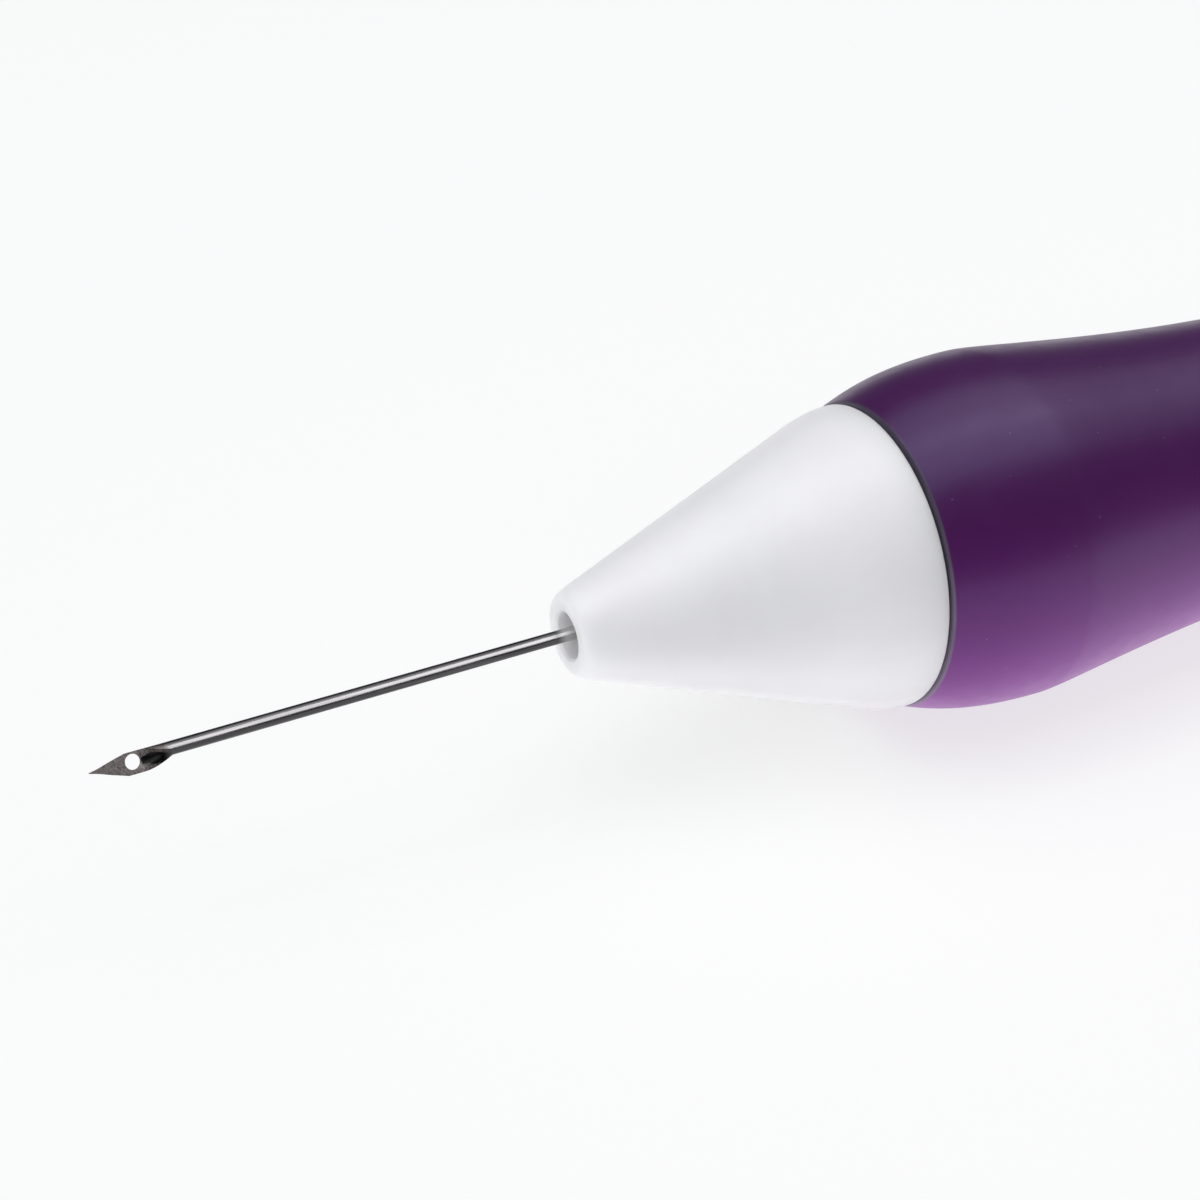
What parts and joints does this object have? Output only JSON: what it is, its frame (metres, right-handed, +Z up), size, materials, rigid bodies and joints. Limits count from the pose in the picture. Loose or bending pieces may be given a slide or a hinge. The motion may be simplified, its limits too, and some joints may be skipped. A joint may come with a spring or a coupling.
{
  "type": "punch needle",
  "caption": "Adjustable punch needle: hollow spear-point needle on a level handle with white nose cone, purple soft grip and a tail dial that sets the needle's reach.",
  "frame": {"origin": "on the surface that the tool lies on, under the middle of its length and width", "axes": "+X along the tool from the needle's point to the tail, +Z up from the surface, +Y to the left seen from the tail"},
  "size_m": [0.1542, 0.025, 0.025],
  "materials": {
    "needle_steel": "drawn and polished, ground at the point",
    "spring_steel": "bright drawn",
    "hub_brass": "turned",
    "ring_rubber": "matte",
    "natural_plastic": "satin, unfilled acetal",
    "grey_plastic": "satin",
    "white_plastic": "fine satin moulding",
    "purple_rubber": "smooth soft-touch satin",
    "purple_plastic": "satin gloss moulding"
  },
  "bodies": {
    "handle": {"core_barrel": "white_plastic", "soft_grip": "purple_rubber", "guide_barrel": "grey_plastic", "thrust_washer": "grey_plastic", "retaining_ring": "spring_steel", "detent_ball": "spring_steel", "detent_spring": "spring_steel"},
    "dial": {"depth_dial": "white_plastic", "cam_sleeve": "natural_plastic", "sleeve_o_ring": "ring_rubber", "end_cap": "purple_plastic", "yarn_guide_tube": "natural_plastic"},
    "carriage": {"carriage_tube": "natural_plastic", "follower_pin_left": "spring_steel", "follower_pin_right": "spring_steel", "hub_o_ring": "ring_rubber"},
    "needle": {"needle_tube": "needle_steel", "needle_hub": "hub_brass"},
    "nose": {"nose_cone": "white_plastic", "nose_o_ring": "ring_rubber"}
  },
  "joints": [
    {"name": "dial_turn", "type": "hinge", "parent": "handle", "child": "dial", "pos_m": [0, 0, 0.01252], "axis": [1, 0, 0], "range_deg": [0, 330]},
    {"name": "reach_slide", "type": "slide", "parent": "handle", "child": "carriage", "axis": [1, 0, 0], "range_m": [0, 0.0242]},
    {"name": "needle_pull", "type": "slide", "parent": "carriage", "child": "needle", "axis": [-1, 0, 0], "range_m": [0, 0.052]},
    {"name": "nose_unscrew", "type": "slide", "parent": "handle", "child": "nose", "axis": [-1, 0, 0], "range_m": [0, 0.066]}
  ],
  "couplings": [
    {"joint": "dial_turn", "follows": "reach_slide", "rad_per_m": 238}
  ]
}
